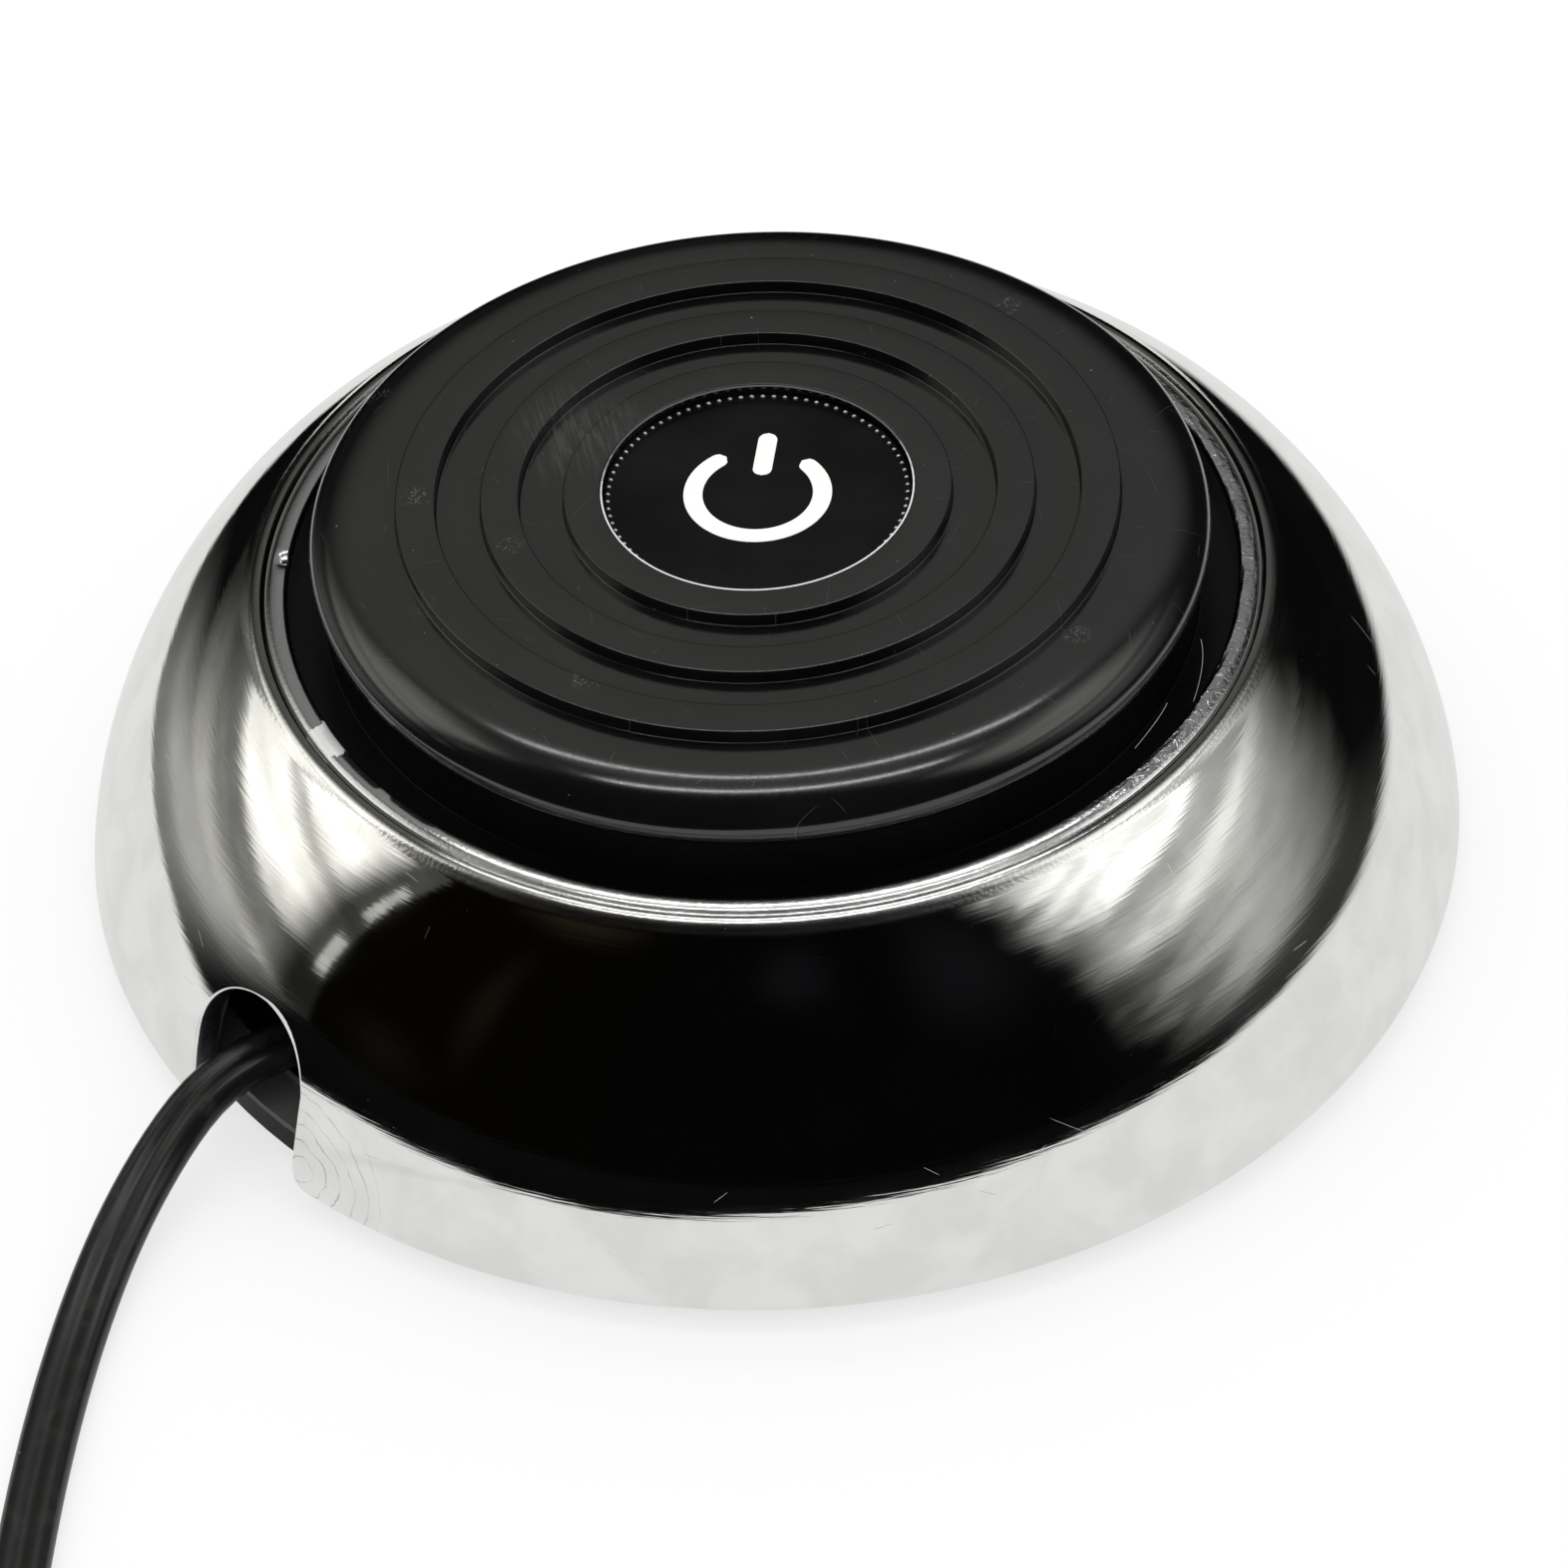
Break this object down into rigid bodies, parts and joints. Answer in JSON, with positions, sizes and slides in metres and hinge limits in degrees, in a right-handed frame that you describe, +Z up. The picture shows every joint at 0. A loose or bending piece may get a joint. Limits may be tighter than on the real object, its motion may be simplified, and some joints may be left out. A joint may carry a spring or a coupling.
{
  "type": "foot switch",
  "caption": "Round foot switch with a polished dome housing, a stepped black pedal that presses down on springs, and a flat cord to a jack plug.",
  "frame": {"origin": "on the floor under the pedal's axis, at the bottoms of the feet", "axes": "+Z up along the pedal's axis; the cord leaves the housing towards -X"},
  "size_m": [0.1988, 0.1269, 0.0314],
  "materials": {
    "housing": "mirror polish",
    "pedal": "semi-gloss moulded",
    "badge": "gloss print",
    "base": "semi-gloss moulded",
    "feet": "matt",
    "screws": "zinc plated",
    "springs": "drawn wire",
    "switch_body": "matt moulded",
    "plunger": "matt moulded",
    "lever": "rolled strip",
    "terminals": "punched",
    "bracket": "zinc plated",
    "clamp_bar": "matt moulded",
    "core_a": "smooth insulation",
    "core_b": "smooth insulation",
    "cord": "satin flexible sheath",
    "plug_boot": "satin",
    "plug_handle": "semi-gloss moulded",
    "plug_metal": "nickel plated",
    "plug_insulator": "matt"
  },
  "bodies": {
    "housing_body": {"housing": "housing", "base": "base", "foot_1": "feet", "foot_2": "feet", "foot_3": "feet", "foot_4": "feet", "base_screws": "screws", "spring_1": "springs", "spring_2": "springs", "spring_3": "springs", "switch_body": "switch_body", "lever_pin": "screws", "terminal_common": "terminals", "terminal_open": "terminals", "terminal_closed": "terminals", "bracket": "bracket", "bracket_screws": "screws", "switch_screws": "screws", "switch_nuts": "screws", "clamp_bar": "clamp_bar", "clamp_screws": "screws", "core_a": "core_a", "core_b": "core_b", "cord": "cord", "coil": "cord", "cord_tail": "cord", "plug_boot": "plug_boot", "plug_handle": "plug_handle", "plug_sleeve": "plug_metal", "plug_insulator": "plug_insulator", "plug_tip": "plug_metal"},
    "pedal_body": {"pedal": "pedal", "badge": "badge"},
    "lever_body": {"lever": "lever"},
    "plunger_body": {"plunger": "plunger"}
  },
  "joints": [
    {"name": "pedal_press", "type": "slide", "parent": "housing_body", "child": "pedal_body", "axis": [0, 0, -1], "range_m": [0, 0.0025], "stiffness_N_per_m": 2400, "springref_m": -0.0025, "deforming": ["spring_1", "spring_2", "spring_3"]},
    {"name": "lever_swing", "type": "hinge", "parent": "housing_body", "child": "lever_body", "pos_m": [-0.0132, 0, 0.021], "axis": [0, 1, 0], "range_deg": [0, 11.2]},
    {"name": "plunger_press", "type": "slide", "parent": "housing_body", "child": "plunger_body", "axis": [0, 0, -1], "range_m": [0, 0.0009]}
  ],
  "couplings": [
    {"joint": "lever_swing", "follows": "pedal_press", "rad_per_m": 78},
    {"joint": "plunger_press", "follows": "pedal_press", "ratio": 0.35}
  ]
}
